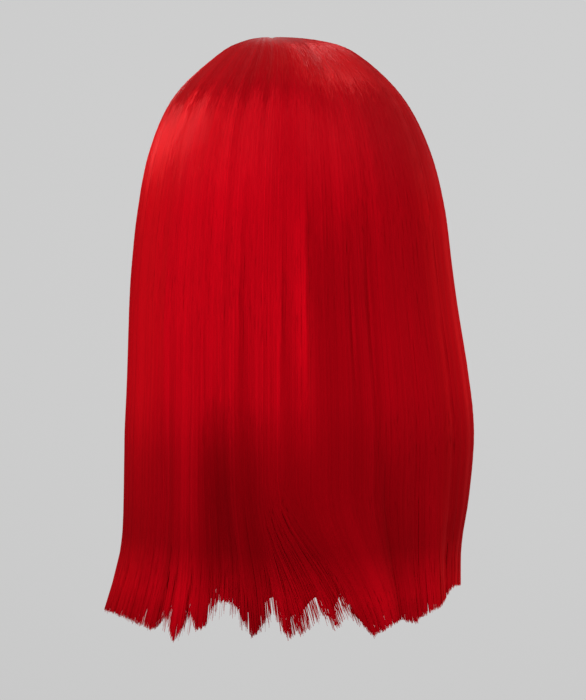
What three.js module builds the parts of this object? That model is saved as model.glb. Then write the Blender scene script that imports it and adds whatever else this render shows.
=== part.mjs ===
// A straight bob wig with bangs: a net cap, a crown patch and four panels of hair combed into locks.
// Millimetres, +Z up. The origin is the top of the head inside the cap, the face looks along -Y and the
// wearer's left is +X. An azimuth runs round the vertical axis in degrees: 0 at the back of the head, 90 at
// the wearer's left, 180 at the face.
import * as THREE from "three";

// Head and cap
const HEAD = { halfWidth: 78, halfLength: 98, halfHeight: 90 };
const CAP_WALL = 1.5;
const CAP_RIM = { nape: 150, ear: 115, brow: 50 }; // drop of the rim below the top of the head
const PATCH = { wall: 1, reach: 14, room: 16 }; // reach and room are angles down from the whorl
const SEAT_GAP = 0.4;

// Hair
const HAIR_TOP = 4; // above the top of the head
const WHORL = { x: 14, y: 16, reach: 3.6, firstRing: 0.18, rings: 3 }; // where the hair parts
const CURTAIN = 12; // thickness of the hair that hangs free below the cap
const TIP = 2.5; // thickness of the hair at its hem
const PANEL_GAP = 0.5;
const GROOVES = { start: 12, full: 130 }; // drops where the grooves between locks begin and are whole

// Mesh steps
const CAP_COLUMNS = 48;
const CAP_ROWS = 6; // from the room for the patch down to the rim
const FREE_ROWS = 8; // of the hair below the rim
const LOCK_STEPS = 4;

// Sections of the hair's outer form: the drop below its top, and how far it reaches from the axis each way.
const RINGS = [
  { drop: 0, left: 14, right: -14, back: 16, front: -16 },
  { drop: 3, left: 31, right: 19, back: 43, front: 21 },
  { drop: 11, left: 47, right: 41, back: 65, front: 50 },
  { drop: 35, left: 73, right: 67, back: 91, front: 82 },
  { drop: 67, left: 88, right: 84, back: 105, front: 100 },
  { drop: 105, left: 96, right: 94, back: 111, front: 108 },
  { drop: 152, left: 101, right: 100, back: 112, front: 112 },
  { drop: 204, left: 103, right: 109, back: 108, front: 113 },
  { drop: 242, left: 105, right: 113, back: 105, front: 112 },
  { drop: 282, left: 106, right: 110, back: 101, front: 110 },
  { drop: 317, left: 109, right: 105, back: 98, front: 108 },
  { drop: 359, left: 121, right: 106, back: 97, front: 106 },
];

// Locks of each panel, going round by azimuth: where a lock starts, the drop of the notch there, the drop of
// its tip, the depth of its groove and the angle that its end leans round. The last row only ends the panel.
const LOCKS = {
  hair_right: [
    { azimuth: -132, notch: 334, tip: 342, groove: 3, lean: 0 },
    { azimuth: -119, notch: 335, tip: 343, groove: 3, lean: 0 },
    { azimuth: -104, notch: 333, tip: 342, groove: 3, lean: 0 },
    { azimuth: -87, notch: 332, tip: 342, groove: 3, lean: -1 },
    { azimuth: -74, notch: 331, tip: 341, groove: 3, lean: -2 },
    { azimuth: -58, notch: 334, tip: 345, groove: 3, lean: -3 },
  ],
  hair_back: [
    { azimuth: -58, notch: 334, tip: 345, groove: 3, lean: -3 },
    { azimuth: -40, notch: 340, tip: 347, groove: 4, lean: -8 },
    { azimuth: -25, notch: 342, tip: 350, groove: 4, lean: -10 },
    { azimuth: -4, notch: 332, tip: 348, groove: 6, lean: -14.5 },
    { azimuth: 3, notch: 340, tip: 352, groove: 4, lean: -12 },
    { azimuth: 14, notch: 341, tip: 354, groove: 4, lean: -8.5 },
    { azimuth: 26, notch: 330, tip: 350, groove: 4, lean: -5 },
    { azimuth: 35, notch: 340, tip: 358, groove: 3, lean: -3 },
    { azimuth: 44, notch: 343, tip: 355, groove: 4, lean: -2 },
    { azimuth: 55, notch: 348, tip: 353, groove: 3, lean: 0 },
  ],
  hair_left: [
    { azimuth: 55, notch: 348, tip: 353, groove: 3, lean: 0 },
    { azimuth: 72, notch: 346, tip: 354, groove: 3, lean: 2 },
    { azimuth: 87, notch: 348, tip: 356, groove: 3, lean: 1 },
    { azimuth: 104, notch: 345, tip: 353, groove: 3, lean: 0 },
    { azimuth: 119, notch: 344, tip: 351, groove: 3, lean: 0 },
    { azimuth: 132, notch: 342, tip: 351, groove: 3, lean: 0 },
  ],
  bangs: [
    { azimuth: 132, notch: 110, tip: 117, groove: 3, lean: 0 },
    { azimuth: 145, notch: 107, tip: 112, groove: 2, lean: 0 },
    { azimuth: 156, notch: 103, tip: 109, groove: 2, lean: 0 },
    { azimuth: 169, notch: 101, tip: 106, groove: 2, lean: 0 },
    { azimuth: 179, notch: 100, tip: 106, groove: 2, lean: 0 },
    { azimuth: 192, notch: 101, tip: 107, groove: 2, lean: 0 },
    { azimuth: 203, notch: 104, tip: 109, groove: 2, lean: 0 },
    { azimuth: 215, notch: 107, tip: 115, groove: 2, lean: 0 },
    { azimuth: 228, notch: 110, tip: 115, groove: 3, lean: 0 },
  ],
};

const HAIR_RED = new THREE.MeshStandardMaterial({ name: "hair", color: 0xb00410, roughness: 0.38 });
const CAP_NET = new THREE.MeshStandardMaterial({ name: "cap_net", color: 0x4a0a10, roughness: 0.85 });
const PATCH_SKIN = new THREE.MeshStandardMaterial({ name: "crown_skin", color: 0xd39a8c, roughness: 0.6 });

const { lerp, smoothstep, degToRad, radToDeg } = THREE.MathUtils;

// Sizes of the hair's outer form at a fractional row of RINGS.
const ringSizes = new THREE.CubicInterpolant(
  RINGS.map((_, row) => row),
  RINGS.flatMap(({ drop, left, right, back, front }) => [drop, left, right, back, front]),
  5,
  new Float32Array(5),
);

function ringAt(row) {
  const [drop, left, right, back, front] = ringSizes.evaluate(Math.min(row, RINGS.length - 1));
  return { drop, left, right, back, front };
}

// The fractional row of RINGS that lies at a drop, found by halving.
function rowAtDrop(drop) {
  let low = 0;
  let high = RINGS.length - 1;
  for (let step = 0; step < 40; step++) {
    const middle = (low + high) / 2;
    if (ringAt(middle).drop < drop) low = middle;
    else high = middle;
  }
  return high;
}

// A point of the hair's outer form, taken in by some millimetres towards the axis. The first rings lie round
// the whorl instead of the axis.
function hairPoint(azimuth, row, inset = 0) {
  const ring = ringAt(row);
  const nearWhorl = 1 - smoothstep(row, 0, WHORL.rings);
  const x = WHORL.x * nearWhorl;
  const y = WHORL.y * nearWhorl;
  const sine = Math.sin(degToRad(azimuth));
  const cosine = Math.cos(degToRad(azimuth));
  return new THREE.Vector3(
    x + sine * ((sine > 0 ? ring.left - x : ring.right + x) - inset),
    y + cosine * ((cosine > 0 ? ring.back - y : ring.front + y) - inset),
    HAIR_TOP - ring.drop,
  );
}

// A point lifted off the head. The polar angle runs down from the whorl, which lies off the top of the head.
function scalpPoint(azimuth, polar, lift) {
  const angle = degToRad(azimuth);
  const down = degToRad(polar);
  const halfWidth = HEAD.halfWidth + lift;
  const halfLength = HEAD.halfLength + lift;
  const halfHeight = HEAD.halfHeight + lift;
  const shift = polar < 90 ? Math.cos(down) ** 2 : 0;
  const x = halfWidth * Math.sin(down) * Math.sin(angle) + WHORL.x * shift;
  const y = halfLength * Math.sin(down) * Math.cos(angle) + WHORL.y * shift;
  const height = Math.sqrt(Math.max(0, 1 - (x / halfWidth) ** 2 - (y / halfLength) ** 2));
  const z = (polar < 90 ? height : Math.cos(down)) * halfHeight - HEAD.halfHeight;
  return new THREE.Vector3(x, y, z);
}

// The cap's rim dips at the nape and rises over the brow.
function rimDrop(azimuth) {
  const angle = degToRad(azimuth);
  const middle = (CAP_RIM.nape + CAP_RIM.brow) / 2;
  const tilt = (CAP_RIM.nape - CAP_RIM.brow) / 2;
  const earTab = (CAP_RIM.ear - middle) / 2;
  return middle + earTab + tilt * Math.cos(angle) - earTab * Math.cos(2 * angle);
}

// The polar angles of the cap's rows, which the hair over it shares.
function capPolars(azimuth) {
  const rim = radToDeg(Math.acos(1 - rimDrop(azimuth) / HEAD.halfHeight));
  const rows = Array.from({ length: CAP_ROWS + 1 }, (_, row) => lerp(PATCH.room, rim, row / CAP_ROWS));
  return [WHORL.reach, ...rows];
}

// A closed wall between two grids of points, columns[i][row]. A ring of columns closes on itself.
function wallGeometry(outer, inner, isRing) {
  const columnCount = outer.length;
  const rowCount = outer[0].length;
  const points = [...outer.flat(), ...inner.flat()];
  const index = [];
  const at = (isInner, column, row) =>
    (isInner ? columnCount * rowCount : 0) + (column % columnCount) * rowCount + row;
  const quad = (a, b, c, d) => index.push(a, b, c, a, c, d);
  const spans = isRing ? columnCount : columnCount - 1;
  for (let column = 0; column < spans; column++) {
    const next = column + 1;
    for (let row = 0; row < rowCount - 1; row++) {
      quad(at(0, column, row), at(0, next, row), at(0, next, row + 1), at(0, column, row + 1));
      quad(at(1, column, row), at(1, column, row + 1), at(1, next, row + 1), at(1, next, row));
    }
    const last = rowCount - 1;
    quad(at(0, column, 0), at(1, column, 0), at(1, next, 0), at(0, next, 0));
    quad(at(0, column, last), at(0, next, last), at(1, next, last), at(1, column, last));
  }
  if (!isRing) {
    const end = columnCount - 1;
    for (let row = 0; row < rowCount - 1; row++) {
      quad(at(0, 0, row), at(0, 0, row + 1), at(1, 0, row + 1), at(1, 0, row));
      quad(at(0, end, row), at(1, end, row), at(1, end, row + 1), at(0, end, row + 1));
    }
  }
  const geometry = new THREE.BufferGeometry().setFromPoints(points).setIndex(index);
  geometry.computeVertexNormals();
  return geometry;
}

// A dome on the head from the whorl down through the polar angles that each azimuth has.
function domeGeometry(columnCount, polars, innerLift, outerLift) {
  const grid = (lift) =>
    Array.from({ length: columnCount }, (_, column) => {
      const azimuth = (360 * column) / columnCount;
      return [0, ...polars(azimuth)].map((polar) => scalpPoint(azimuth, polar, lift));
    });
  return wallGeometry(grid(outerLift), grid(innerLift), true);
}

// The columns of a panel: each lock is bulged across, and its end runs to a tip.
function panelColumns(locks) {
  const columns = [];
  locks.slice(0, -1).forEach((lock, number) => {
    const next = locks[number + 1];
    for (let step = 0; step < LOCK_STEPS; step++) {
      const across = step / LOCK_STEPS;
      const bulge = Math.sqrt(Math.sin(Math.PI * across));
      columns.push({
        azimuth: lerp(lock.azimuth, next.azimuth, across),
        hem: lerp(lerp(lock.notch, next.notch, across), lock.tip, bulge),
        inset: lerp(lock.groove, next.groove, across) * (1 - bulge),
        lean: lerp(lock.lean, next.lean, across),
      });
    }
  });
  const end = locks.at(-1);
  columns.push({ azimuth: end.azimuth, hem: end.notch, inset: end.groove, lean: end.lean });
  return columns;
}

// The outer and inner points of one column, from the whorl over the cap and down to the hem.
function columnPoints({ azimuth, hem, inset, lean }) {
  const outer = [];
  const inner = [];
  const polars = capPolars(azimuth);
  const rim = polars.at(-1);
  const rimRow = rowAtDrop(HAIR_TOP + rimDrop(azimuth));
  const hemRow = rowAtDrop(hem);
  const grooveAt = (drop) => inset * smoothstep(drop, GROOVES.start, GROOVES.full);
  const capLift = CAP_WALL + SEAT_GAP;
  const patchLift = capLift + PATCH.wall + SEAT_GAP;
  for (const polar of polars) {
    const row = lerp(WHORL.firstRing, rimRow, (polar - WHORL.reach) / (rim - WHORL.reach));
    outer.push(hairPoint(azimuth, row, grooveAt(ringAt(row).drop)));
    inner.push(scalpPoint(azimuth, polar, polar > PATCH.room ? capLift : patchLift));
  }
  const inwards = inner.at(-1).clone().sub(outer.at(-1)).setZ(0);
  const rimThickness = inwards.length();
  inwards.normalize();
  for (let step = 1; step <= FREE_ROWS; step++) {
    const along = step / FREE_ROWS;
    const row = lerp(rimRow, hemRow, along);
    const groove = grooveAt(ringAt(row).drop);
    const thickness = lerp(
      lerp(rimThickness, CURTAIN - groove, smoothstep(along, 0, 0.5)),
      TIP,
      smoothstep(along, 0.6, 1),
    );
    const point = hairPoint(azimuth + lean * along ** 2, row, groove);
    outer.push(point);
    inner.push(point.clone().addScaledVector(inwards, thickness));
  }
  return { outer, inner };
}

// Moves an edge column sideways, so that neighbouring panels keep a gap.
function moveRound(points, azimuth, distance) {
  const angle = degToRad(azimuth);
  const sideways = new THREE.Vector3(Math.cos(angle), -Math.sin(angle), 0).multiplyScalar(distance);
  points.forEach((point) => point.add(sideways));
}

function hairPanel(name) {
  const columns = panelColumns(LOCKS[name]);
  const made = columns.map(columnPoints);
  const outer = made.map((column) => column.outer);
  const inner = made.map((column) => column.inner);
  for (const grid of [outer, inner]) {
    moveRound(grid[0], columns[0].azimuth, PANEL_GAP / 2);
    moveRound(grid.at(-1), columns.at(-1).azimuth, -PANEL_GAP / 2);
  }
  return namedMesh(name, wallGeometry(outer, inner, false), HAIR_RED);
}

function namedMesh(name, geometry, material) {
  const mesh = new THREE.Mesh(geometry, material);
  mesh.name = name;
  return mesh;
}

const cap = namedMesh("cap", domeGeometry(CAP_COLUMNS, capPolars, 0, CAP_WALL), CAP_NET);

const patchBase = CAP_WALL + SEAT_GAP;
const crownPatch = namedMesh(
  "crown_patch",
  domeGeometry(CAP_COLUMNS / 2, () => [WHORL.reach, PATCH.reach], patchBase, patchBase + PATCH.wall),
  PATCH_SKIN,
);

const wig = new THREE.Group();
wig.name = "bob_wig";
wig.add(cap, crownPatch, ...Object.keys(LOCKS).map(hairPanel));

export default wig;
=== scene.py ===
"""Dresses the bob wig: strands of red hair over its four panels, the net cap inside and the crown patch.

Tables are in millimetres and degrees. An azimuth runs round the vertical axis: 0 at the back of the head,
90 at the wearer's left, 180 at the face. A drop is measured down from the top of the hair, a depth in from
its surface.
"""

import math

import bpy
import numpy as np
from bpy.props import FloatProperty, FloatVectorProperty, PointerProperty
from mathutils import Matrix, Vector


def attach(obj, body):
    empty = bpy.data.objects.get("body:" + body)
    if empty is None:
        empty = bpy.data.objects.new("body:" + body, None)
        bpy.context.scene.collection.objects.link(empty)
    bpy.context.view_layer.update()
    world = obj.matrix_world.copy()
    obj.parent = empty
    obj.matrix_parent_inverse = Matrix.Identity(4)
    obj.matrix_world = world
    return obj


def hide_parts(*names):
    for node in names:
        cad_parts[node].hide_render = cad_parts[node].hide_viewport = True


bl_info = {
    "name": "Bob Wig With Bangs",
    "version": (1, 0, 0),
    "blender": (4, 5, 0),
    "location": "View3D > Sidebar > Wig",
    "description": "Builds the hair, cap and crown patch of a straight bob wig",
    "category": "Object",
}

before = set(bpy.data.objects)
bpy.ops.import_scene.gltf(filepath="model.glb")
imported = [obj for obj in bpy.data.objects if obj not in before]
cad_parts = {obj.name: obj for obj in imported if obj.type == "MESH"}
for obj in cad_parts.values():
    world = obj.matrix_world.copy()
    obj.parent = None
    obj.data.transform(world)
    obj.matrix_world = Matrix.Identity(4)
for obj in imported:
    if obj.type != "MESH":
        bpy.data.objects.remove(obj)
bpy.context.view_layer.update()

MM = 0.001
BODY = "root"

# Head, cap and whorl
HEAD_HALF_WIDTH, HEAD_HALF_LENGTH, HEAD_HALF_HEIGHT = 78, 98, 90
CAP_WALL, CAP_GAP = 1.5, 0.4
CAP_COLUMNS, CAP_ROWS, CAP_HOLE = 96, 40, 0.004
RIM_NAPE, RIM_EAR, RIM_BROW = 150, 115, 50
RING_COLUMNS, RING_SIDES = 120, 8
WEFT_FIRST, WEFT_LAST, WEFT_CLEAR, WEFT_STEP = 38, 128, 2.5, 0.02
WHORL_X, WHORL_Y, WHORL_RINGS = 14, 16, 3
PATCH_LIFT, PATCH_WALL, PATCH_REACH, PATCH_SINK = 1.9, 0.3, 14, 0.4
PATCH_COLUMNS, PATCH_ROWS, PATCH_HOLE, PATCH_FALL = 48, 20, 0.02, (0.3, 0.8)
PARTING, PARTING_AT, PARTING_WIDTH, PARTING_OPEN = 0.9, 3, 6, 0.5

# Walls of the hair, the grooves between its locks, the drops over which a fold grows and fades, and the
# shares of the free length where the sweep starts and ends, the curtain is full and its tips thin out
HAIR_TOP = 4
CURTAIN, TIP_WALL, CURTAIN_FULL, CURTAIN_THINS = 12, 2.5, 0.5, 0.6
GROOVE_START, GROOVE_FULL, GROOVE_SHARE = 100, 250, 0.2
FOLD_GROWS, FOLD_FADES = 80, 100
SWEEP_START, SWEEP_FULL = 0.58, 1.03
FRINGE_REACH, FRINGE_STEP = 5, 0.5
BANGS_CUT, BANGS_POINT = 0.5, 0.35

# Steps over which slopes are measured: degrees round, rows down, degrees over a fold, drop along a fold
NEAR_ROUND, NEAR_ROW, NEAR_FOLD, NEAR_DROP = 0.5, 0.03, 0.4, 2

# Body of a panel: its first row, how deep it lies under the strands, how far it stops above the hem and how
# it clears the cap, its sides, its least angle and wall, the drops past the rim where it hangs free, its grid
MASS_RING, MASS_SUNK, MASS_SHORT, MASS_LIFT = 2.3, 1.0, 10, 2.0
MASS_EDGE, MASS_POLAR, MASS_WALL = 0.2, 3.6, 1.2
MASS_LEAVES, MASS_HANGS = -6, 14
MASS_COLUMNS, MASS_ROWS = 1.6, 44

# Noise in the hair: size, pitch across, length along, seed. A sway starts with its shift across.
HEM_NOISE = (1.4, 2.1, 90, 31)
DEPTH_NOISE = (0.5, 9.0, 60, 13)
GROOVE_NOISES = ((0.25, 7.0, 170, 11), (0.08, 2.3, 140, 12))
SWAYS = ((0, 0.2, 1.3, 80, 3), (80, 0.3, 2.1, 110, 5))
SWAY_DROPS = (15, 120)

# Wisps: how far their edges mix and their middles shift, the pull on their strands, how far wisps and strands
# stray, the shares of length where pull and stray begin, and the tilt of wisps and strands, turned and lifted
WISP_BLUR, WISP_SHIFT, WISP_PULL = 0.35, 0.4, (0.1, 0.5)
STRAY_WISP, STRAY_STRAND = 0.3, 0.15
PULL_START, STRAY_START = 0.6, 0.7
TILTS = ((1, 0.5), (0.7, 1.0))
CROWN_TILT, CROWN_DROPS = 2.0, (60, 140)

# Strands: their roots, three-sided section and widths, how their steps are shared out along them, the drops
# over which the hem's flare stops catching the light and painted shade by depth sets in, and their place on
# the map
ROOT_RING, ROOT_SINK, ROOT_SPREAD, ROOT_SHARE = 0.08, 0.5, 0.12, 0.06
SECTION = ((0.0, 0.3), (-0.5, -0.15), (0.5, -0.15))
SECTION_ROUND = 0.5
WIDTHS, ROOT_WIDTH, ROOT_TAPER = (0.7, 1.25), 0.35, 0.15
TIP_START, TIP_NARROW = 0.88, 0.6
LOOSE_REACH, LOOSE_NARROW = (0.1, 1.0), 0.5
EVEN_PACE = ((0, 1), (0, 1))
FULL_PACE = ((0, 0.5, 0.727, 1), (0, 0.45, 0.77, 1))
STAGGER = 0.618
FLARE_DROPS, FLARE_SHARE = (300, 340), 0.7
DEPTH_SHADE_DROPS, MIDDLE_TINT = (80, 200), 0.5
TINT_STEP, MAP_EDGE = 0.006, 0.02

# Layers of strands: depths, first rows, steps and seed. The inner one lies behind the wall.
TOP_DEPTHS, UNDER_DEPTHS, LOW_DEPTHS = (0, 0.3), (0.8, 1.4), (0.3, 1.5)
UNDER_ROWS, LOW_ROWS, RIM_ROWS = (1.5, 4), (1.0, 2.2), 0.1
INNER_WALL, INNER_GAP = 2.2, 0.3
TOP_STEPS, BANGS_STEPS, UNDER_STEPS, LOW_STEPS, INNER_STEPS = 23, 14, 12, 8, 9
FIRST_SEED = 20

# Sections of the hair's outer form: drop, and the reach to the wearer's left and right, back and front.
RINGS = np.array(
    [
        (0, 14, -14, 16, -16),
        (3, 31, 19, 43, 21),
        (11, 47, 41, 65, 50),
        (35, 73, 67, 91, 82),
        (67, 88, 84, 105, 100),
        (105, 96, 94, 111, 108),
        (152, 101, 100, 112, 112),
        (204, 103, 109, 108, 113),
        (242, 105, 113, 105, 112),
        (282, 106, 110, 101, 110),
        (317, 109, 105, 98, 108),
        (359, 121, 106, 97, 106),
    ],
    float,
)

# Locks of each panel by azimuth: start, drop of the notch there, drop of the tip, groove depth.
LOCKS = {
    "hair_right": [
        (-132, 334, 342, 3),
        (-119, 335, 343, 3),
        (-104, 333, 342, 3),
        (-87, 332, 342, 3),
        (-74, 331, 341, 3),
        (-58, 334, 345, 3),
    ],
    "hair_back": [
        (-58, 334, 345, 3),
        (-40, 340, 347, 4),
        (-25, 342, 350, 4),
        (-4, 332, 348, 1),
        (3, 340, 352, 1),
        (14, 341, 354, 1),
        (26, 330, 350, 4),
        (35, 340, 358, 3),
        (44, 343, 355, 4),
        (55, 348, 353, 3),
    ],
    "hair_left": [
        (55, 348, 353, 3),
        (72, 346, 354, 3),
        (87, 348, 356, 3),
        (104, 345, 353, 3),
        (119, 344, 351, 3),
        (132, 342, 351, 3),
    ],
    "bangs": [
        (132, 110, 117, 3),
        (145, 107, 112, 2),
        (156, 103, 109, 2),
        (169, 101, 106, 2),
        (179, 100, 106, 2),
        (192, 101, 107, 2),
        (203, 104, 109, 2),
        (215, 107, 115, 2),
        (228, 110, 115, 3),
    ],
}

# Folds over the locks: azimuth, depth, width to the left and to the right, drops where it starts and ends,
# and how rounded it is, from 1 for a sharp crease.
FOLDS = [
    (-4.3, -3.8, 4.5, 1.6, 65, 190, 1),
    (3.6, -2.0, 8.5, 1.6, 110, 215, 1),
    (-19.2, 2.3, 1.5, 1.0, 95, 155, 1),
    (-18, 2.0, 4.0, 3.0, 170, 230, 2),
    (-25.6, 2.5, 1.5, 1.0, 95, 150, 1),
    (17.5, -1.3, 3.5, 1.2, 90, 190, 1),
    (31.2, -1.2, 3.5, 1.5, 100, 230, 1),
    (46.6, -1.6, 4.0, 4.0, 90, 180, 1),
    (46, 1.2, 2.0, 3.0, 190, 320, 1),
    (-29, 3.4, 2.4, 3.5, 220, 345, 1),
    (-13.5, -2.6, 5.0, 6.0, 245, 400, 2),
    (-1.5, 1.4, 3.5, 4.0, 235, 400, 2),
    (-50, -2.4, 8.0, 6.0, 240, 400, 2),
    (22.5, 5.0, 8.5, 12.0, 210, 390, 3),
    (31.5, -2.2, 5.0, 4.0, 215, 340, 1),
    (90, 2.0, 30.0, 30.0, 265, 310, 2),
]

# Sideways sweep of the ends by the azimuth of the root.
LEAN = np.array(
    [
        (-132, 0), (-60, -3), (-40, -6), (-30, -8.5), (-18, -16), (-4, -21), (4.5, -22.5), (9, -13),
        (14, -7), (20, -4.5), (26, -3), (35, -1.5), (44, 1), (55, 2.5), (80, 2.5), (104, 1), (132, 0),
    ],
    float,
)

# Painted shade along the hair, from the crown to the hem, darkest over its lower part: place, level.
PAINTED_LENGTH_SHADE = [
    (0.0, 0.93), (0.53, 0.93), (0.59, 1.0), (0.65, 1.0), (0.74, 0.84),
    (0.86, 0.73), (0.9, 0.87), (0.925, 0.97), (0.94, 0.9), (0.97, 0.78),
]

# Soft lamps: name, place in metres, width, height, power in watts.
LAMPS = [
    ("low_near", (0.63, 1.35, -0.02), 1.10, 1.10, 2.94),
    ("low_far", (1.29, 0.75, -0.02), 1.10, 1.10, 2.75),
    ("high_key", (0.79, 0.88, 0.77), 1.10, 1.10, 3.94),
    ("left", (1.49, 0.00, -0.02), 0.80, 0.80, 2.18),
    ("left_high", (1.29, -0.13, 0.60), 0.50, 0.55, 3.50),
    ("left_mid", (1.25, -0.56, 0.46), 0.35, 0.55, 1.75),
    ("left_rim", (0.81, -0.96, 0.67), 0.40, 0.40, 1.77),
    ("front_low", (0.31, -1.45, -0.36), 0.60, 0.60, 2.60),
    ("right", (-0.61, 1.06, 0.71), 1.10, 1.10, 2.70),
    ("right_rim", (-1.40, -0.51, 0.06), 0.60, 0.60, 0.83),
    ("right_low", (-0.84, -1.20, -0.46), 0.60, 0.60, 1.66),
    ("top_right", (-0.65, -0.26, 1.17), 0.45, 0.55, 1.55),
    ("top_front", (-0.28, -0.77, 1.11), 0.35, 0.35, 1.14),
]
LAMP_AIM = -0.12
FLOOR_REACH, FLOOR_SIDES = 3000, 64

# The hem's outline round the head, in order: azimuth where strands end, and their drop.
HEM = np.array(
    [
        (-132, 336), (-126, 342), (-119, 336), (-112, 343), (-104, 335), (-96, 341), (-85, 337.5),
        (-71, 333.5), (-65, 335.5), (-62, 339.5), (-57, 341.5), (-52, 342.5), (-48, 345),
        (-44, 348.5), (-38, 345.5), (-33.5, 346.5), (-29, 350), (-26.5, 352.5), (-23, 344.5),
        (-20.5, 338.5), (-18.2, 333), (-16.2, 341), (-14.2, 348), (-12.5, 343), (-9.2, 337.5),
        (-7.2, 340.5), (-4.8, 345), (-2.8, 351), (-1, 348.5), (0.8, 353), (3.8, 343), (6, 338.5),
        (7.8, 342), (10, 349), (12, 353), (14, 347), (16.8, 337.5), (19.5, 333.5), (22, 332.5),
        (24.5, 334), (25.8, 340.5), (26.5, 347.5), (28.8, 350), (31.2, 340), (32.5, 345),
        (34.5, 353.5), (35.8, 358.5), (38, 351), (40.8, 342), (42.5, 349.5), (44.5, 353), (53, 351),
        (63, 349.5), (72, 350), (88, 353.5), (96, 355), (104, 346), (112, 353), (119, 345),
        (126, 351), (132, 344),
    ],
    float,
)


def smooth(value, low, high):
    """Eased step from 0 at low to 1 at high."""
    share = np.clip((value - low) / (high - low), 0, 1)
    return share * share * (3 - 2 * share)


def ring_sizes(row):
    """Drop, left, right, back and front at fractional rows of RINGS."""
    padded = np.vstack([2 * RINGS[0] - RINGS[1], RINGS, 2 * RINGS[-1] - RINGS[-2]])
    row = np.clip(row, 0, len(RINGS) - 1)
    start = np.minimum(row.astype(int), len(RINGS) - 2)
    part = (row - start)[..., None]
    a, b, c, d = (padded[start + step] for step in range(4))
    curve = b + part / 2 * (c - a + part * (2 * a - 5 * b + 4 * c - d + part * (3 * (b - c) + d - a)))
    return np.moveaxis(curve, -1, 0)


ROW_STEPS = np.linspace(0, len(RINGS) - 1, 800)
DROP_STEPS = ring_sizes(ROW_STEPS)[0]


def row_at(drop):
    """Fractional row of RINGS at a drop."""
    return np.interp(drop, DROP_STEPS, ROW_STEPS)


def hair_form(azimuth, row):
    """Points of the hair's outer form. The first rings lie round the whorl instead of the axis."""
    drop, left, right, back, front = ring_sizes(row)
    near_whorl = 1 - smooth(row, 0, WHORL_RINGS)
    x, y = WHORL_X * near_whorl, WHORL_Y * near_whorl
    sine, cosine = np.sin(np.radians(azimuth)), np.cos(np.radians(azimuth))
    return np.stack(
        [
            x + sine * np.where(sine > 0, left - x, right + x),
            y + cosine * np.where(cosine > 0, back - y, front + y),
            HAIR_TOP - drop,
        ],
        -1,
    )


def unit(vectors):
    """Vectors brought to length 1."""
    return vectors / np.maximum(np.linalg.norm(vectors, axis=-1, keepdims=True), 1e-9)


def outward(azimuth, row):
    """Unit normals of the hair's outer form."""
    round_it = hair_form(azimuth + NEAR_ROUND, row) - hair_form(azimuth - NEAR_ROUND, row)
    above = np.maximum(row - NEAR_ROW, 0.02)
    return unit(np.cross(round_it, hair_form(azimuth, row + NEAR_ROW) - hair_form(azimuth, above)))


def scalp(azimuth, polar, lift):
    """Points lifted off the head. The polar angle runs down from the whorl."""
    angle, down = np.radians(azimuth), np.radians(polar)
    width, length, height = (size + lift for size in (HEAD_HALF_WIDTH, HEAD_HALF_LENGTH, HEAD_HALF_HEIGHT))
    shift = np.where(polar < 90, np.cos(down) ** 2, 0)
    x = width * np.sin(down) * np.sin(angle) + WHORL_X * shift
    y = length * np.sin(down) * np.cos(angle) + WHORL_Y * shift
    dome = np.sqrt(np.maximum(0, 1 - (x / width) ** 2 - (y / length) ** 2))
    return np.stack([x, y, np.where(polar < 90, dome, np.cos(down)) * height - HEAD_HALF_HEIGHT], -1)


def rim_drop(azimuth):
    """Drop of the cap's rim below the top of the head."""
    angle = np.radians(azimuth)
    middle, tilt = (RIM_NAPE + RIM_BROW) / 2, (RIM_NAPE - RIM_BROW) / 2
    ear_tab = (RIM_EAR - middle) / 2
    return middle + ear_tab + tilt * np.cos(angle) - ear_tab * np.cos(2 * angle)


def rim_polar(azimuth):
    """Polar angle of the cap's rim."""
    return np.degrees(np.arccos(1 - rim_drop(azimuth) / HEAD_HALF_HEIGHT))


def ripple(across, along, size, pitch, length, seed):
    """Smooth noise up to a size, with cells of the given pitch across the hair and length along it."""
    cells = np.random.RandomState(seed).uniform(-1, 1, (256, 64))
    u, v = across / pitch, along / length
    i, j = np.floor(u).astype(int), np.floor(v).astype(int)
    s, t = smooth(u - i, 0, 1), smooth(v - j, 0, 1)
    corner = lambda a, b: cells[(i + a) % 256, (j + b) % 64]
    top = corner(0, 0) * (1 - s) + corner(1, 0) * s
    bottom = corner(0, 1) * (1 - s) + corner(1, 1) * s
    return size * (top * (1 - t) + bottom * t)


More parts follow.
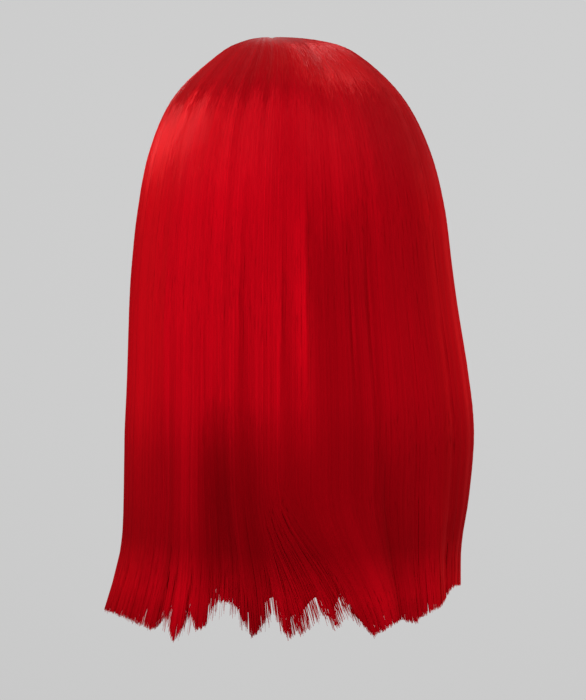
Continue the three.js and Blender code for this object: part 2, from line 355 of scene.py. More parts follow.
class Panel:
    """One panel of hair and the locks that it is combed into."""

    def __init__(self, name):
        self.name = name
        self.start, self.notch, self.tip, self.groove = np.array(LOCKS[name], float).T
        self.low, self.high = self.start[0], self.start[-1]

    def place(self, azimuth):
        """Number of the lock at an azimuth, how far across it, and its bulge there."""
        number = np.clip(np.searchsorted(self.start, azimuth, "right") - 1, 0, len(self.start) - 2)
        wide = self.start[number + 1] - self.start[number]
        across = np.clip((azimuth - self.start[number]) / wide, 0, 1)
        return number, across, np.sqrt(np.sin(math.pi * across).clip(0))

    def hem(self, azimuth):
        """Drop of the hem where strands end."""
        if self.name != "bangs":
            return np.interp(azimuth, *HEM.T)
        number, across, bulge = self.place(azimuth)
        notch = self.notch[number] * (1 - across) + self.notch[number + 1] * across
        cut = notch + (self.tip[number] - notch) * (BANGS_CUT + BANGS_POINT * bulge)
        return cut + ripple(azimuth, 0 * azimuth, *HEM_NOISE)

    def fringe(self, azimuth):
        """Drop that loose strands can reach: that of the longest tips near by."""
        nearby = np.arange(-FRINGE_REACH, FRINGE_REACH + FRINGE_STEP, FRINGE_STEP)
        return np.max([self.hem(azimuth + near) - abs(near) for near in nearby], 0)

    def relief(self, azimuth, drop):
        """Depth of grooves and folds."""
        _, across, _ = self.place(azimuth)
        between = (1 - np.sin(math.pi * across)) ** 2
        depth = np.interp(azimuth, self.start, self.groove) * GROOVE_SHARE * between
        for noise in GROOVE_NOISES:
            depth = depth + ripple(azimuth, drop, *noise)
        depth = depth * smooth(drop, GROOVE_START, GROOVE_FULL)
        for at, deep, left, right, start, end, rounded in FOLDS:
            off = azimuth - at
            shape = np.exp(-(np.abs(off / np.where(off > 0, left, right)) ** rounded))
            grown = smooth(drop, start, start + FOLD_GROWS)
            depth = depth + deep * shape * grown * (1 - smooth(drop, end, end + FOLD_FADES))
        return depth * (1 + ripple(azimuth, drop, *DEPTH_NOISE))

    def along(self, azimuth, drop, end):
        """Share of the free length below the cap's rim."""
        rim = HAIR_TOP + rim_drop(azimuth)
        return np.clip((drop - rim) / (end - rim), 0, 1)

    def turned(self, azimuth, along):
        """Azimuth of a strand rooted at an azimuth. It hangs straight, then leans over its lower half."""
        return azimuth + np.interp(azimuth, *LEAN.T) * smooth(along, SWEEP_START, SWEEP_FULL)

    def surface(self, azimuth, row, end):
        """The combed surface: points, normals of the form and of its folds, drops, shares of free length."""
        drop = ring_sizes(row)[0]
        along = self.along(azimuth, drop, end)
        turned = self.turned(azimuth, along)
        round_it = hair_form(turned + NEAR_ROUND, row) - hair_form(turned - NEAR_ROUND, row)
        normals = outward(turned, row)
        slope = self.relief(azimuth + NEAR_FOLD, drop) - self.relief(azimuth - NEAR_FOLD, drop)
        slope = slope / (2 * NEAR_FOLD) / np.maximum(np.linalg.norm(round_it, axis=-1), 0.3)
        falls = self.relief(azimuth, drop + NEAR_DROP) - self.relief(azimuth, drop - NEAR_DROP)
        falls = falls / (2 * NEAR_DROP)
        folded = unit(normals + slope[..., None] * unit(round_it) + falls[..., None] * np.array([0, 0, -1]))
        return hair_form(turned, row), normals, folded, drop, along

    def wall(self, azimuth, along):
        """Thickness of the hair, from the cap to its surface and then through the free curtain."""
        rim_row = row_at(HAIR_TOP + rim_drop(azimuth))
        span = hair_form(azimuth, rim_row) - scalp(azimuth, rim_polar(azimuth), CAP_WALL + CAP_GAP)
        at_rim = np.hypot(span[..., 0], span[..., 1])
        hanging = at_rim + (CURTAIN - at_rim) * smooth(along, 0, CURTAIN_FULL)
        return hanging + (TIP_WALL - hanging) * smooth(along, CURTAIN_THINS, 1)


def new_mesh(name, points, faces, maps=None):
    """A smooth mesh object from points in millimetres, arrays of equal-sided faces and UV maps by loop."""
    mesh = bpy.data.meshes.new(name)
    corners = np.concatenate([part.ravel() for part in faces])
    sides = np.concatenate([np.full(len(part), part.shape[1]) for part in faces])
    mesh.vertices.add(len(points))
    mesh.vertices.foreach_set("co", (np.asarray(points) * MM).astype(np.float32).ravel())
    mesh.loops.add(len(corners))
    mesh.loops.foreach_set("vertex_index", corners.astype(np.int32))
    mesh.polygons.add(len(sides))
    mesh.polygons.foreach_set("loop_start", np.concatenate([[0], np.cumsum(sides)[:-1]]).astype(np.int32))
    mesh.polygons.foreach_set("use_smooth", np.ones(len(sides), bool))
    for map_name, places in (maps or {}).items():
        layer = mesh.uv_layers.new(name=map_name)
        layer.uv.foreach_set("vector", places.astype(np.float32).ravel())
    mesh.update(calc_edges=True)
    mesh.validate()
    if len(mesh.polygons) != len(sides):
        raise RuntimeError(f"{name} lost faces")
    piece = bpy.data.objects.new(name, mesh)
    bpy.context.scene.collection.objects.link(piece)
    return piece


def wall_mesh(name, outer, inner, is_ring):
    """A closed wall between two grids of points, [column, row], with both faces side by side on its map."""
    columns, rows = outer.shape[:2]
    number = np.arange(columns * rows).reshape(columns, rows)
    here = number if is_ring else number[:-1]
    after = np.roll(number, -1, 0) if is_ring else number[1:]
    inside = columns * rows
    quad = lambda *corner: np.stack(corner, -1).reshape(-1, 4)
    faces = [
        quad(here[:, :-1], after[:, :-1], after[:, 1:], here[:, 1:]),
        quad(here[:, :-1], here[:, 1:], after[:, 1:], after[:, :-1]) + inside,
        quad(here[:, 0], here[:, 0] + inside, after[:, 0] + inside, after[:, 0]),
        quad(here[:, -1], after[:, -1], after[:, -1] + inside, here[:, -1] + inside),
    ]
    if not is_ring:
        for edge, flip in ((number[0], 1), (number[-1], -1)):
            side = quad(edge[:-1], edge[1:], edge[1:] + inside, edge[:-1] + inside)
            faces.append(side[:, ::flip])
    quads = np.concatenate(faces)
    corner = quads % inside
    column, row = corner // rows, corner % rows
    wrapped = is_ring & (column.max(1, keepdims=True) == columns - 1) & (column == 0)
    across = (column + wrapped * columns) / (columns if is_ring else columns - 1)
    places = np.stack([across * 0.49 + 0.5 * (quads >= inside), 0.99 - 0.98 * row / (rows - 1)], -1)
    points = np.concatenate([outer.reshape(-1, 3), inner.reshape(-1, 3)])
    return new_mesh(name, points, [quads], {"grain": places.reshape(-1, 2)})


def strand_mesh(name, bundles):
    """One closed mesh of three-sided strands. A bundle has paths, normals, widths, tints and shares along."""
    points, quads, ends, quad_maps, end_maps, quad_shades, end_shades = ([] for _ in range(7))
    count = 0
    for paths, normals, widths, tints, shares in bundles:
        number, steps = paths.shape[:2]
        forward = unit(np.gradient(paths, axis=1))
        side = unit(np.cross(forward, normals))
        up = np.cross(side, forward)
        rings = [paths + widths[..., None] * (across * side + lift * up) for across, lift in SECTION]
        points.append(np.stack(rings, 2).reshape(-1, 3))
        lean = unit(np.stack([normals + SECTION_ROUND * across * side for across, _ in SECTION], 2))
        leans = np.roll(lean, -1, 2)
        under = -normals[:, :, None] + np.zeros((1, 1, 3, 1))
        grid = count + np.arange(number * steps * 3).reshape(number, steps, 3)
        nearer, further = grid[:, :-1], grid[:, 1:]
        corners = [nearer, further, np.roll(further, -1, 2), np.roll(nearer, -1, 2)]
        quads.append(np.stack(corners, -1).reshape(-1, 4))
        ends.append(np.concatenate([grid[:, 0], grid[:, -1, ::-1]]))
        faces = np.stack([lean[:, :-1], lean[:, 1:], leans[:, 1:], leans[:, :-1]], 3)
        faces[:, :, 1] = under[:, 1:, :1]
        quad_shades.append(faces.reshape(-1, 3))
        end_shades.append(np.repeat(np.concatenate([-forward[:, 0], forward[:, -1]]), 3, 0))
        count += number * steps * 3
        edge = tints[:, :, None] + np.array([-1.5, -0.5, 0.5]) * TINT_STEP
        near, far = edge[:, :-1], edge[:, 1:]
        u = np.stack([near, far, far + TINT_STEP, near + TINT_STEP], -1)
        low, high = shares[:, :-1, None], shares[:, 1:, None]
        v = np.stack([low, high, high, low], -1) + np.zeros((1, 1, 3, 1))
        quad_maps.append(np.stack([u, v], -1).reshape(-1, 2))
        for end, rise in ((0, TINT_STEP), (-1, -TINT_STEP)):
            cap_u = tints[:, end, None] + np.array([-1, 0, 1]) * TINT_STEP
            cap_v = shares[:, end, None] + np.array([0, 1, 0]) * rise
            end_maps.append(np.stack([cap_u, cap_v], -1).reshape(-1, 2))
    places = np.concatenate([*quad_maps, *end_maps])
    faces = [np.concatenate(quads), np.concatenate(ends)]
    piece = new_mesh(name, np.concatenate(points), faces, {"strand": places, "OFBake": places})
    piece.data.normals_split_custom_set(np.concatenate([*quad_shades, *end_shades]))
    return piece


class Value:
    """A shader socket in Python arithmetic: each operation adds a Math node."""

    def __init__(self, socket):
        self.socket = socket

    def math(self, operation, *terms):
        node = self.socket.id_data.nodes.new("ShaderNodeMath")
        node.operation = operation
        for slot, term in zip(node.inputs, terms):
            join(slot, term)
        return Value(node.outputs[0])

    def __add__(self, other):
        return self.math("ADD", self, other)

    def __radd__(self, other):
        return self.math("ADD", other, self)

    def __sub__(self, other):
        return self.math("SUBTRACT", self, other)

    def __rsub__(self, other):
        return self.math("SUBTRACT", other, self)

    def __mul__(self, other):
        return self.math("MULTIPLY", self, other)

    def __rmul__(self, other):
        return self.math("MULTIPLY", other, self)

    def __pow__(self, other):
        return self.math("POWER", self, other)


def join(slot, term):
    """Links a Value to a socket, or sets the socket to a number, colour or vector."""
    if isinstance(term, Value):
        slot.id_data.links.new(term.socket, slot)
    elif hasattr(slot.default_value, "__len__"):
        slot.default_value = (*term, 1)[: len(slot.default_value)]
    else:
        slot.default_value = term


class Nodes:
    """A node tree in which every node other than Math is added by one method."""

    def __init__(self, tree):
        self.tree = tree

    def node(self, kind, settings=None, sockets=None, out=0):
        """Adds a node: settings and a ramp's stops first, then values or links by socket name or number."""
        made = self.tree.nodes.new(kind)
        for key, value in (settings or {}).items():
            if key != "stops":
                setattr(made, key, value)
                continue
            elements = made.color_ramp.elements
            while len(elements) < len(value):
                elements.new(0.5)
            for element, (place, colour) in zip(elements, value):
                element.position, element.color = place, (*colour, 1)
        for key, value in (sockets or {}).items():
            join(made.inputs[key], value)
        return [Value(socket) for socket in made.outputs] if out is None else Value(made.outputs[out])

    def ramp(self, value, stops):
        """Colour by value, from stops of (place, colour)."""
        return self.node("ShaderNodeValToRGB", {"stops": stops}, {0: value})

    def mix(self, share, first, second, blend="MIX"):
        """A mix of two colours."""
        settings = {"data_type": "RGBA", "blend_type": blend}
        return self.node("ShaderNodeMix", settings, {0: share, 6: first, 7: second}, 2)

    def axes(self, vector):
        """The three parts of a vector."""
        return self.node("ShaderNodeSeparateXYZ", {}, {0: vector}, None)

    def stretched(self, place, across, along):
        """A place on a map, scaled so that a texture is drawn out."""
        return self.node("ShaderNodeMapping", {}, {0: place, "Scale": (across, along, 1)})

    def bump(self, height, strength, distance):
        """A normal from a height."""
        return self.node(
            "ShaderNodeBump", {}, {"Strength": strength, "Distance": distance, "Height": height}
        )


class Finish(Nodes):
    """A material made of one Principled shader and the nodes that feed it."""

    def __init__(self, name):
        self.material = bpy.data.materials.new(name)
        self.material.use_nodes = True
        super().__init__(self.material.node_tree)
        self.shader = self.tree.nodes["Principled BSDF"]

    def place(self, name):
        """The place on a UV map."""
        return self.node("ShaderNodeUVMap", {"uv_map": name})

    def surface(self, **sockets):
        """Sets or links the shader's sockets, and gives the material."""
        for key, value in sockets.items():
            join(self.shader.inputs[key.replace("_", " ").title().replace("Ior", "IOR")], value)
        return self.material


def dim(colour, share):
    """A colour darkened to a share of itself."""
    return tuple(part * share for part in colour)


def strand_finish(hair):
    """Glossy red fibre, tinted from strand to strand. Painted shade darkens it down its length, and its tints
    carry painted shade in grooves and painted light on ridges and tips.
    """
    finish = Finish("hair_strands")
    across, along, _ = finish.axes(finish.place("strand"))
    red = finish.mix(across, tuple(hair.dark), tuple(hair.light))
    # Painted shade: the colour is darkened along the length of the hair, most over its lower part.
    shade = finish.ramp(along, [(place, (level,) * 3) for place, level in PAINTED_LENGTH_SHADE])
    glossy = finish.ramp(across, [(0.36, (0, 0, 0)), (0.54, (1, 1, 1))])
    crown = finish.ramp(along, [(0.36, (1, 1, 1)), (0.45, (0, 0, 0))])
    return finish.surface(
        base_color=finish.mix(1.0, red, shade, "MULTIPLY"),
        metallic=hair.sheen,
        roughness=hair.roughness + 0.12 * (1 - across),
        anisotropic=0.6,
        specular_ior_level=hair.gloss,
        specular_tint=tuple(hair.shine),
        coat_weight=glossy * crown,
        coat_roughness=0.16,
        coat_ior=1.1,
    )


def mass_finish(hair):
    """The body of the hair under its loose strands, drawn into fine streaks."""
    finish = Finish("hair_mass")
    place = finish.place("grain")
    drawn, wide = finish.stretched(place, 900, 6), finish.stretched(place, 160, 3)
    fine = finish.node("ShaderNodeTexNoise", {}, {"Vector": drawn, "Scale": 1, "Detail": 3, "Roughness": 0.6})
    wisps = finish.node("ShaderNodeTexNoise", {}, {"Vector": wide, "Scale": 1, "Detail": 2})
    streak = fine * 0.6 + wisps * 0.4
    return finish.surface(
        base_color=finish.ramp(streak, [(0.1, tuple(hair.dark)), (0.95, tuple(hair.light))]),
        metallic=hair.sheen,
        roughness=hair.roughness + 0.3 * (1 - streak),
        anisotropic=0.6,
        specular_ior_level=hair.gloss,
        specular_tint=tuple(hair.shine),
        normal=finish.bump(streak, 0.5, 0.0006),
    )


def net_finish(cap):
    """Dull net of small cells."""
    finish = Finish("cap_net")
    cells = finish.stretched(finish.place("grain"), 260, 90)
    settings = {"feature": "DISTANCE_TO_EDGE"}
    holes = finish.node("ShaderNodeTexVoronoi", settings, {"Vector": cells, "Scale": 1})
    threads = finish.ramp(holes, [(0.04, (1, 1, 1)), (0.16, (0, 0, 0))])
    return finish.surface(
        base_color=finish.mix(threads, dim(cap.net, 0.35), tuple(cap.net)),
        roughness=0.85,
        specular_ior_level=0.2,
        normal=finish.bump(threads, 0.6, 0.0004),
    )


def weft_finish(cap):
    """Sewn rows with the stitches showing."""
    finish = Finish("weft")
    sockets = {"Vector": finish.place("grain"), "Scale": 190, "Distortion": 1.5}
    stitches = finish.node("ShaderNodeTexWave", {"bands_direction": "X"}, sockets)
    return finish.surface(
        base_color=finish.ramp(stitches, [(0.2, dim(cap.weft, 0.45)), (0.8, tuple(cap.weft))]),
        roughness=0.7,
        specular_ior_level=0.3,
        normal=finish.bump(stitches, 0.7, 0.0006),
    )


def skin_finish(cap):
    """Soft matte film with a fine speckle."""
    finish = Finish("crown_skin")
    place = finish.node("ShaderNodeTexCoord", out=3)
    speckle = finish.node("ShaderNodeTexNoise", {}, {"Vector": place, "Scale": 900, "Detail": 2})
    return finish.surface(
        base_color=finish.ramp(speckle, [(0.35, dim(cap.skin, 0.7)), (0.6, tuple(cap.skin))]),
        roughness=0.6,
        normal=finish.bump(speckle, 0.3, 0.0003),
    )


def floor_finish():
    """Pale paint, faintly mottled."""
    finish = Finish("pale_floor")
    mottle = finish.node("ShaderNodeTexNoise", {}, {"Scale": 3.0})
    tone = finish.ramp(mottle, [(0.3, (0.6, 0.6, 0.6)), (0.7, (0.64, 0.64, 0.63))])
    return finish.surface(base_color=tone, roughness=0.8)


def place_piece(piece, material, node=None):
    """Dresses a piece, lets it ride the part and, where it stands for one, hides its CAD node."""
    piece.data.materials.append(material)
    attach(piece, BODY)
    if node:
        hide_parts(node)
    return piece


class WigHair(bpy.types.PropertyGroup):
    """Sizes and colours of the hair"""

    strand_width: FloatProperty(
        name="Strand width", description="Width of a strand", default=0.00075, unit="LENGTH",
    )
    strands: FloatProperty(
        name="Strands", description="Strands of the top layer for each degree round", default=12.6,
    )
    wisp: FloatProperty(name="Wisp", description="Angle that one wisp takes round the head", default=2.6)
    ragged: FloatProperty(
        name="Ragged hem", description="Unevenness of the cut ends", default=0.0008, unit="LENGTH",
    )
    loose: FloatProperty(
        name="Loose ends", description="Share of longer strands in the hem's notches", default=0.26,
        subtype="FACTOR",
    )
    tilt: FloatProperty(
        name="Tilt", description="Spread of the angle that wisps turn to the light", default=0.03,
    )
    tone_wisp: FloatProperty(name="Wisp tone", description="Spread of colour between wisps", default=0.03)
    tone_strand: FloatProperty(
        name="Strand tone", description="Spread of colour between strands", default=0.035,
    )
    # Painted light: the tips are lightened where the hem flares out into the light.
    painted_tip_light: FloatProperty(name="Tip tone", description="Lightening of the tips", default=0.14)
    # Painted shade: strands are darkened by their depth in grooves and folds, and lightened on ridges.
    painted_depth_shade: FloatProperty(
        name="Depth tone", description="Darkening for each millimetre of depth", default=0.05,
    )
    dark: FloatVectorProperty(
        name="Dark red", description="Colour of the darkest strands", subtype="COLOR",
        default=(0.24, 0.0005, 0.0034),
    )
    light: FloatVectorProperty(
        name="Light red", description="Colour of the lightest strands", subtype="COLOR",
        default=(0.98, 0.0016, 0.0125),
    )
    shine: FloatVectorProperty(
        name="Shine", description="Tint of the reflections", subtype="COLOR",
        default=(1.0, 0.05, 0.08),
    )
    sheen: FloatProperty(
        name="Sheen", description="Share of coloured reflection", default=0.6, min=0, max=1,
    )
    gloss: FloatProperty(name="Gloss", description="Level of white reflection", default=0.1, min=0, max=1)
    roughness: FloatProperty(
        name="Roughness", description="Roughness of the lightest strands", default=0.34,
    )


class WigCap(bpy.types.PropertyGroup):
    """Sizes and colours of the cap and its crown patch"""

    net: FloatVectorProperty(
        name="Net", description="Colour of the net", subtype="COLOR", default=(0.07, 0.004, 0.007),
    )
    weft: FloatVectorProperty(
        name="Weft", description="Colour of the sewn rows", subtype="COLOR",
        default=(0.16, 0.004, 0.01),
    )
    skin: FloatVectorProperty(
        name="Skin", description="Colour of the crown patch", subtype="COLOR",
        default=(0.62, 0.3, 0.24),
    )
    weft_gap: FloatProperty(name="Weft gap", description="Angle between sewn rows", default=9.0)


class WigStage(bpy.types.PropertyGroup):
    """Camera and light"""

    distance: FloatProperty(
        name="Distance", description="Camera to the wig's axis", default=1.15, unit="LENGTH",
    )
    height: FloatProperty(
        name="Aim", description="Height that the camera aims at", default=-0.188, unit="LENGTH",
    )
    elevation: FloatProperty(
        name="Elevation", description="Camera above the horizon", default=math.radians(4),
        subtype="ANGLE",
    )
    span: FloatProperty(
        name="Span", description="Height of the view at the axis", default=0.4375, unit="LENGTH",
    )
    floor: FloatProperty(name="Floor", description="Height of the floor", default=-1.6, unit="LENGTH")
    room_left: FloatProperty(
        name="Room left", description="Brightness at the wearer's left", default=0.22,
    )
    room_right: FloatProperty(
        name="Room right", description="Brightness at the wearer's right", default=0.8,
    )
    room_back: FloatProperty(name="Room back", description="Brightness behind the wearer", default=0.3)
    room_front: FloatProperty(
        name="Room front", description="Brightness in front of the wearer", default=0.62,
    )
    room_up: FloatProperty(name="Room above", description="Brightness above", default=0.51)
    room_down: FloatProperty(name="Room below", description="Brightness below", default=0.2)


def hair_mass(panel):
    """The solid body of a panel, a little under its strands and shorter than them."""
    columns = int((panel.high - panel.low) * MASS_COLUMNS)
    azimuth = np.linspace(panel.low + MASS_EDGE, panel.high - MASS_EDGE, columns)[:, None]
    rows = np.linspace(0, 1, MASS_ROWS)[None, :]
    end = panel.hem(panel.turned(azimuth, np.ones_like(azimuth)))
    row = MASS_RING + (row_at(end - MASS_SHORT) - MASS_RING) * rows
    points, normals, _, drop, along = panel.surface(azimuth, row, end)
    depth = panel.relief(azimuth, drop) + MASS_SUNK
    outer = points - normals * depth[..., None]
    rim = HAIR_TOP + rim_drop(azimuth)
    polar = rim_polar(azimuth) * np.clip(row / row_at(rim), 0, 1)
    over_cap = scalp(azimuth, np.maximum(polar, MASS_POLAR), MASS_LIFT)
    thick = np.maximum(panel.wall(azimuth, along) - depth, MASS_WALL)
    hanging = outer - unit(normals * (1, 1, 0)) * thick[..., None]
    share = smooth(drop, rim + MASS_LEAVES, rim + MASS_HANGS)[..., None]
    return outer, over_cap * (1 - share) + hanging * share


def comb(panel, random, azimuth, root_row, depth, steps, hair, pace=EVEN_PACE, inside=False):
    """Paths of strands from their roots to the hem, drawn together into wisps that end in points."""
    count = len(azimuth)
    cell = np.floor(azimuth / hair.wisp + random.uniform(-WISP_BLUR, WISP_BLUR, count)).astype(int)
    first = cell.min()
    wisps = cell.max() - first + 1
    pick = lambda values: values[cell - first]
    shift = random.uniform(-WISP_SHIFT, WISP_SHIFT, wisps)
    centre = pick((np.arange(wisps) + first + 0.5) * hair.wisp + shift)
    pull = pick(random.uniform(*WISP_PULL, wisps))
    tone = pick(random.normal(0, hair.tone_wisp, wisps))
    stray = pick(random.normal(0, STRAY_WISP, wisps)) + random.normal(0, STRAY_STRAND, count)
    gathered = azimuth + (centre - azimuth) * pull
    ending = panel.turned(gathered, np.ones(count)) + stray
    loose = random.uniform(0, 1, count) < hair.loose
    hem = panel.hem(ending)
    longer = loose * random.uniform(*LOOSE_REACH, count) * (panel.fringe(ending) - hem)
    end = hem + longer + hair.ragged / MM * random.normal(0, 1, count)
    even = np.linspace(0, 1, steps)[None, :]
    stagger = (np.arange(count)[:, None] * STAGGER % 1 - 0.5) / (steps - 1)
    share = np.interp(even + stagger * (even > 0) * (even < 1), *pace)
    row = root_row[:, None] + (row_at(end) - root_row)[:, None] * share
    drop = ring_sizes(row)[0]
    start = azimuth[:, None]
    along = panel.along(start, drop, end[:, None])
    moved = start + (centre - azimuth)[:, None] * pull[:, None] * smooth(along, PULL_START, 1)
    sway = sum(ripple(start + shift, drop, *noise) for shift, *noise in SWAYS)
    moved = moved + sway * smooth(drop, *SWAY_DROPS) * (1 - along)
    moved = moved + stray[:, None] * smooth(along, STRAY_START, 1)
    points, normals, folded, drop, along = panel.surface(moved, row, end[:, None])
    relief = panel.relief(moved, drop)
    sunk = relief
    if inside:
        sunk = np.maximum(panel.wall(start, along), relief + INNER_WALL) + INNER_GAP
        folded, depth = -normals, -depth
    folded[..., 2] *= 1 - FLARE_SHARE * smooth(drop, *FLARE_DROPS)
    sink = sunk + np.maximum(depth[:, None], ROOT_SINK * (1 - smooth(share, 0, ROOT_SHARE)))
    paths = points - (unit(normals * (1, 1, 0)) if inside else normals) * sink[..., None]
    forward = unit(np.gradient(paths, axis=1))
    turn, lift = (
        pick(random.normal(0, wide * hair.tilt, wisps)) + random.normal(0, fine * hair.tilt, count)
        for wide, fine in TILTS
    )
    lift = lift[:, None] * (CROWN_TILT - smooth(drop, *CROWN_DROPS))
    folded = unit(folded + turn[:, None, None] * np.cross(forward, folded) + lift[..., None] * forward)
    width = hair.strand_width / MM * random.uniform(*WIDTHS, count) * (1 - LOOSE_NARROW * loose)
    tip = smooth(share, TIP_START, 1)
    taper = (ROOT_WIDTH + (1 - ROOT_WIDTH) * smooth(share, 0, ROOT_TAPER)) * (1 - TIP_NARROW * tip)
    tone = (tone + random.normal(0, hair.tone_strand, count))[:, None]
    # Painted shade: strands in grooves and folds are darkened by their depth, and those on ridges are
    # lightened.
    tint = MIDDLE_TINT + tone - hair.painted_depth_shade * relief * smooth(drop, *DEPTH_SHADE_DROPS)
    # Painted light on the tips.
    tint = np.clip(tint + hair.painted_tip_light * tip, MAP_EDGE, 1 - MAP_EDGE)
    down = MAP_EDGE + (1 - 2 * MAP_EDGE) * row / (len(RINGS) - 1)
    return paths, folded, width[:, None] * taper, tint, down


def roots(panel, random, count):
    """Azimuths of strands spread evenly over a panel."""
    return np.linspace(panel.low, panel.high, count) + random.normal(0, ROOT_SPREAD, count)


class WIG_OT_hair_masses(bpy.types.Operator):
    """Make the solid body of each panel of hair"""

    bl_idname = "wig.hair_masses"
    bl_label = "Hair Masses"

    def execute(self, context):
        material = mass_finish(context.scene.wig_hair)
        for name in LOCKS:
            outer, inner = hair_mass(Panel(name))
            place_piece(wall_mesh(name + "_mass", outer, inner, False), material, name)
        return {"FINISHED"}


class WIG_OT_hair_strands(bpy.types.Operator):
    """Comb the strands of each panel of hair"""

    bl_idname = "wig.hair_strands"
    bl_label = "Hair Strands"

    def execute(self, context):
        hair = context.scene.wig_hair
        material = strand_finish(hair)
        for seed, name in enumerate(LOCKS):
            panel, random = Panel(name), np.random.RandomState(seed + FIRST_SEED)
            count = int((panel.high - panel.low) * hair.strands)
            top, under, low = (roots(panel, random, number) for number in (count, count // 3, count // 2))
            crown = ROOT_RING + PARTING * np.exp(-(((top - PARTING_AT) / PARTING_WIDTH) ** 2))
            covered = random.uniform(*UNDER_ROWS, len(under))
            near_hem = row_at(panel.hem(low)) - random.uniform(*LOW_ROWS, len(low))
            at_rim = row_at(HAIR_TOP + rim_drop(under)) + RIM_ROWS
            steps, pace = (BANGS_STEPS, EVEN_PACE) if name == "bangs" else (TOP_STEPS, FULL_PACE)
            near = random.uniform(*TOP_DEPTHS, len(top))
            layers = {"top": [comb(panel, random, top, crown, near, steps, hair, pace)], "under": []}
            for azimuth, rows, depths, number in (
                (under, covered, UNDER_DEPTHS, UNDER_STEPS), (low, near_hem, LOW_DEPTHS, LOW_STEPS),
            ):
                deep = random.uniform(*depths, len(azimuth))
                layers["under"].append(comb(panel, random, azimuth, rows, deep, number, hair))
            level = np.zeros(len(under))
            layers["under"].append(comb(panel, random, under, at_rim, level, INNER_STEPS, hair, inside=True))
            for layer, bundles in layers.items():
                place_piece(strand_mesh(f"{name}_{layer}_strands", bundles), material)
        return {"FINISHED"}


def ring_tube(name, around, polar, wide, high, lift):
    """A closed tube round the head: half its width in degrees, half its height and its lift in mm."""
    ring = np.linspace(0, 2 * math.pi, RING_SIDES, endpoint=False)[None, :]
    band = scalp(around, polar + wide * np.cos(ring), 0)
    away = unit(band - np.array([0, 0, -HEAD_HALF_HEIGHT]))
    tube = band + away * (lift + high * np.sin(ring))[..., None]
    columns, sides = tube.shape[:2]
    number = np.arange(columns * sides).reshape(columns, sides)
    right, down = np.roll(number, -1, 0), np.roll(number, -1, 1)
    quads = np.stack([number, right, np.roll(right, -1, 1), down], -1).reshape(-1, 4)
    column, side = np.meshgrid(np.arange(columns), np.arange(sides), indexing="ij")
    u = np.stack([column, column + 1, column + 1, column], -1) / columns
    v = np.stack([side, side, side + 1, side + 1], -1) / sides
    return new_mesh(name, tube.reshape(-1, 3), [quads], {"grain": np.stack([u, v], -1).reshape(-1, 2)})


class WIG_OT_cap(bpy.types.Operator):
    """Make the net cap, its sewn rows and the bound rim"""

    bl_idname = "wig.cap"
    bl_label = "Cap"

    def execute(self, context):
        cap = context.scene.wig_cap
        azimuth = np.linspace(0, 360, CAP_COLUMNS, endpoint=False)[:, None]
        polar = rim_polar(azimuth) * np.linspace(CAP_HOLE, 1, CAP_ROWS)[None, :]
        shell = wall_mesh("cap_net", scalp(azimuth, polar, CAP_WALL), scalp(azimuth, polar, 0.0), True)
        place_piece(shell, net_finish(cap), "cap")
        thread = weft_finish(cap)
        around = np.linspace(0, 360, RING_COLUMNS, endpoint=False)[:, None]
        edge = rim_polar(around)
        for number, at in enumerate(np.arange(WEFT_FIRST, WEFT_LAST, cap.weft_gap)):
            if (edge - WEFT_CLEAR - 0.1 < at).all():
                continue
            held = np.minimum(at, edge - WEFT_CLEAR - WEFT_STEP * number)
            row = ring_tube(f"cap_weft_{number}", around, held, wide=1.0, high=0.75, lift=0)
            place_piece(row, thread)
        rim = ring_tube("cap_rim", around, edge - 0.5, wide=1.6, high=1.5, lift=0.75)
        place_piece(rim, thread)
        return {"FINISHED"}


class WIG_OT_crown_patch(bpy.types.Operator):
    """Make the skin-toned patch at the whorl"""

    bl_idname = "wig.crown_patch"
    bl_label = "Crown Patch"

    def execute(self, context):
        azimuth = np.linspace(0, 360, PATCH_COLUMNS, endpoint=False)[:, None]
        share = np.linspace(PATCH_HOLE, 1, PATCH_ROWS)[None, :]
        polar = PATCH_REACH * share + azimuth * 0
        seat = scalp(azimuth, polar, PATCH_LIFT)
        inner = scalp(azimuth, polar, PATCH_LIFT - PATCH_WALL)
        raised = hair_form(azimuth, share + azimuth * 0) - (0, 0, PATCH_SINK)
        parting = np.exp(-(((azimuth + 180) % 360 - 180 - PARTING_AT) / PARTING_WIDTH) ** 2 / 2)
        falls = smooth(share - PARTING_OPEN * parting, *PATCH_FALL)
        outer = raised + (seat - raised) * falls[..., None]
        patch = wall_mesh("crown_skin", outer, inner, True)
        place_piece(patch, skin_finish(context.scene.wig_cap), "crown_patch")
        return {"FINISHED"}


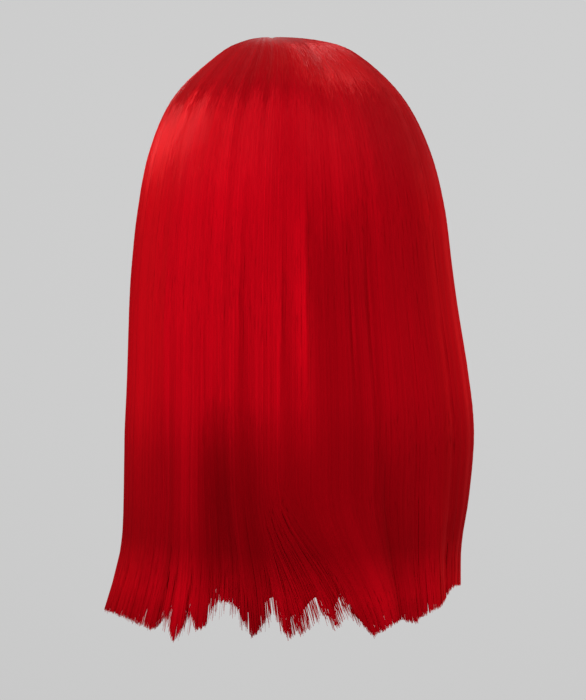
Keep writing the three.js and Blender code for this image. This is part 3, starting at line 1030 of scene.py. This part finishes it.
class WIG_OT_stage(bpy.types.Operator):
    """Set the floor, the soft light and the camera"""

    bl_idname = "wig.stage"
    bl_label = "Stage"

    def execute(self, context):
        scene, stage = context.scene, context.scene.wig_stage
        scene.view_settings.view_transform = "Standard"
        angle = np.linspace(0, 2 * math.pi, FLOOR_SIDES, endpoint=False)
        level = np.full(FLOOR_SIDES, stage.floor / MM)
        disc = np.stack([FLOOR_REACH * np.cos(angle), FLOOR_REACH * np.sin(angle), level], -1)
        floor = new_mesh("floor", disc, [np.arange(FLOOR_SIDES)[None, :]])
        floor.data.materials.append(floor_finish())
        self.light_room(scene, stage)
        self.hang_lamps(scene)
        self.set_camera(scene, stage)
        return {"FINISHED"}

    def light_room(self, scene, stage):
        """A plain room that is brighter to some sides."""
        scene.world = bpy.data.worlds.new("studio")
        scene.world.use_nodes = True
        room = Nodes(scene.world.node_tree)
        left, back, up = room.axes(room.node("ShaderNodeTexCoord"))
        glow = 0
        for side, bright in (
            (left, stage.room_left), (-1 * left, stage.room_right), (back, stage.room_back),
            (-1 * back, stage.room_front), (up, stage.room_up), (-1 * up, stage.room_down),
        ):
            glow = glow + side.math("MAXIMUM", side, 0) ** 2 * bright
        join(room.tree.nodes["Background"].inputs["Color"], glow)

    def hang_lamps(self, scene):
        """The soft lamps, turned to the wig."""
        for name, place, width, height, power in LAMPS:
            lamp = bpy.data.lights.new(name, "AREA")
            lamp.shape, lamp.size, lamp.size_y, lamp.energy = "RECTANGLE", width, height, power
            lit = bpy.data.objects.new(name, lamp)
            lit.location = place
            lit.visible_camera = False
            aim = Vector((0, 0, LAMP_AIM)) - lit.location
            lit.rotation_euler = aim.to_track_quat("-Z", "Y").to_euler()
            scene.collection.objects.link(lit)

    def set_camera(self, scene, stage):
        """A camera behind the wearer."""
        lens = bpy.data.cameras.new("camera")
        lens.lens = lens.sensor_width * stage.distance / stage.span
        camera = bpy.data.objects.new("camera", lens)
        back = Vector((0, math.cos(stage.elevation), math.sin(stage.elevation)))
        camera.location = Vector((0, 0, stage.height)) + back * stage.distance
        camera.rotation_euler = (-back).to_track_quat("-Z", "Y").to_euler()
        scene.collection.objects.link(camera)
        scene.camera = camera


class WIG_PT_panel(bpy.types.Panel):
    """Lists the wig's pieces and settings"""

    bl_idname = "WIG_PT_panel"
    bl_label = "Bob Wig"
    bl_space_type = "VIEW_3D"
    bl_region_type = "UI"
    bl_category = "Wig"

    def draw(self, context):
        for group in (context.scene.wig_hair, context.scene.wig_cap, context.scene.wig_stage):
            for key in group.__annotations__:
                self.layout.prop(group, key)
        for operator in OPERATORS:
            self.layout.operator(operator.bl_idname)


OPERATORS = (WIG_OT_hair_masses, WIG_OT_hair_strands, WIG_OT_cap, WIG_OT_crown_patch, WIG_OT_stage)
CLASSES = (WigHair, WigCap, WigStage, *OPERATORS, WIG_PT_panel)


def register():
    for made in CLASSES:
        bpy.utils.register_class(made)
    bpy.types.Scene.wig_hair = PointerProperty(type=WigHair)
    bpy.types.Scene.wig_cap = PointerProperty(type=WigCap)
    bpy.types.Scene.wig_stage = PointerProperty(type=WigStage)


def unregister():
    del bpy.types.Scene.wig_hair, bpy.types.Scene.wig_cap, bpy.types.Scene.wig_stage
    for made in reversed(CLASSES):
        bpy.utils.unregister_class(made)


def main():
    register()
    bpy.ops.wig.hair_masses()
    bpy.ops.wig.hair_strands()
    bpy.ops.wig.cap()
    bpy.ops.wig.crown_patch()
    bpy.ops.wig.stage()


if __name__ == "__main__":
    main()
